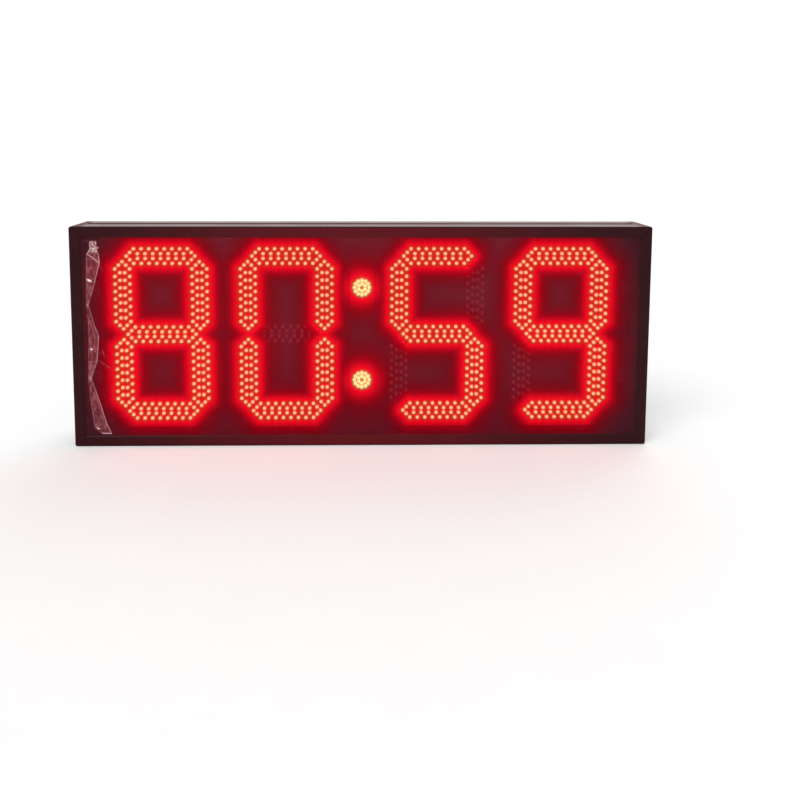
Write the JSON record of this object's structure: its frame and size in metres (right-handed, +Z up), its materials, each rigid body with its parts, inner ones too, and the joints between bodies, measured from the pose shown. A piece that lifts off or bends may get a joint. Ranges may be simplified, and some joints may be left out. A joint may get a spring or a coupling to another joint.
{
  "type": "led scoreboard",
  "caption": "Slim rectangular scoreboard with round lamps in seven-segment digits and a colon behind a smoked window, in an extruded frame.",
  "frame": {"origin": "under the middle of the whole part, on the surface that it stands on", "axes": "+Z up, the window faces -Y, +X to the right seen from the front"},
  "size_m": [0.66, 0.0574, 0.255],
  "materials": {
    "black_anodised_aluminium": "satin black anodised extrusion",
    "black_moulded_nylon": "moulded, fine spark grain",
    "smoked_red_acrylic": "gloss, tinted",
    "clear_protective_film": "crumpled clear film",
    "lamp_board": "lamps on a dark board",
    "receiver_epoxy": "dark lens epoxy",
    "mill_aluminium": "mill finish",
    "black_painted_steel": "fine texture powder coat",
    "zinc_plated_steel": "bright zinc",
    "red_rocker": "gloss moulded",
    "galvanised_steel": "galvanised sheet",
    "green_circuit_board": "solder mask",
    "grey_ribbon_cable": "flat cable",
    "black_sheath": "cable sheath"
  },
  "bodies": {
    "display": {"frame_top_rail": "black_anodised_aluminium", "frame_right_rail": "black_anodised_aluminium", "frame_bottom_rail": "black_anodised_aluminium", "frame_left_rail": "black_anodised_aluminium", "corner_top_left": "black_moulded_nylon", "corner_top_right": "black_moulded_nylon", "corner_bottom_right": "black_moulded_nylon", "corner_bottom_left": "black_moulded_nylon", "window": "smoked_red_acrylic", "protective_film": "clear_protective_film", "digit_1_board": "lamp_board", "digit_2_board": "lamp_board", "digit_3_board": "lamp_board", "digit_4_board": "lamp_board", "colon_board": "lamp_board", "infrared_receiver": "receiver_epoxy", "upper_carrier": "mill_aluminium", "lower_carrier": "mill_aluminium", "back_panel": "black_painted_steel", "panel_screw_1": "zinc_plated_steel", "panel_screw_2": "zinc_plated_steel", "panel_screw_3": "zinc_plated_steel", "panel_screw_4": "zinc_plated_steel", "panel_screw_5": "zinc_plated_steel", "panel_screw_6": "zinc_plated_steel", "panel_screw_7": "zinc_plated_steel", "panel_screw_8": "zinc_plated_steel", "ear_pivot_left": "zinc_plated_steel", "ear_pivot_right": "zinc_plated_steel", "power_inlet": "black_moulded_nylon", "switch_housing": "black_moulded_nylon", "power_supply": "galvanised_steel", "control_board": "green_circuit_board", "ribbon_digit_1_2": "grey_ribbon_cable", "ribbon_digit_2_colon": "grey_ribbon_cable", "ribbon_colon_digit_3": "grey_ribbon_cable", "ribbon_digit_3_4": "grey_ribbon_cable", "ribbon_digit_3_control": "grey_ribbon_cable", "lead_inlet_switch": "black_sheath", "lead_switch_supply": "black_sheath", "lead_supply_control": "black_sheath"},
    "rocker": {"switch_rocker": "red_rocker"},
    "ear_left": {"hanging_ear_left": "zinc_plated_steel"},
    "ear_right": {"hanging_ear_right": "zinc_plated_steel"}
  },
  "joints": [
    {"name": "rocker_tip", "type": "hinge", "parent": "display", "child": "rocker", "pos_m": [-0.222, 0.02475, 0.048], "axis": [1, 0, 0], "range_deg": [0, 20]},
    {"name": "ear_left_swing", "type": "hinge", "parent": "display", "child": "ear_left", "pos_m": [-0.262, 0.02765, 0.247], "axis": [0, 1, 0], "continuous": true},
    {"name": "ear_right_swing", "type": "hinge", "parent": "display", "child": "ear_right", "pos_m": [0.262, 0.02765, 0.247], "axis": [0, 1, 0], "continuous": true}
  ]
}
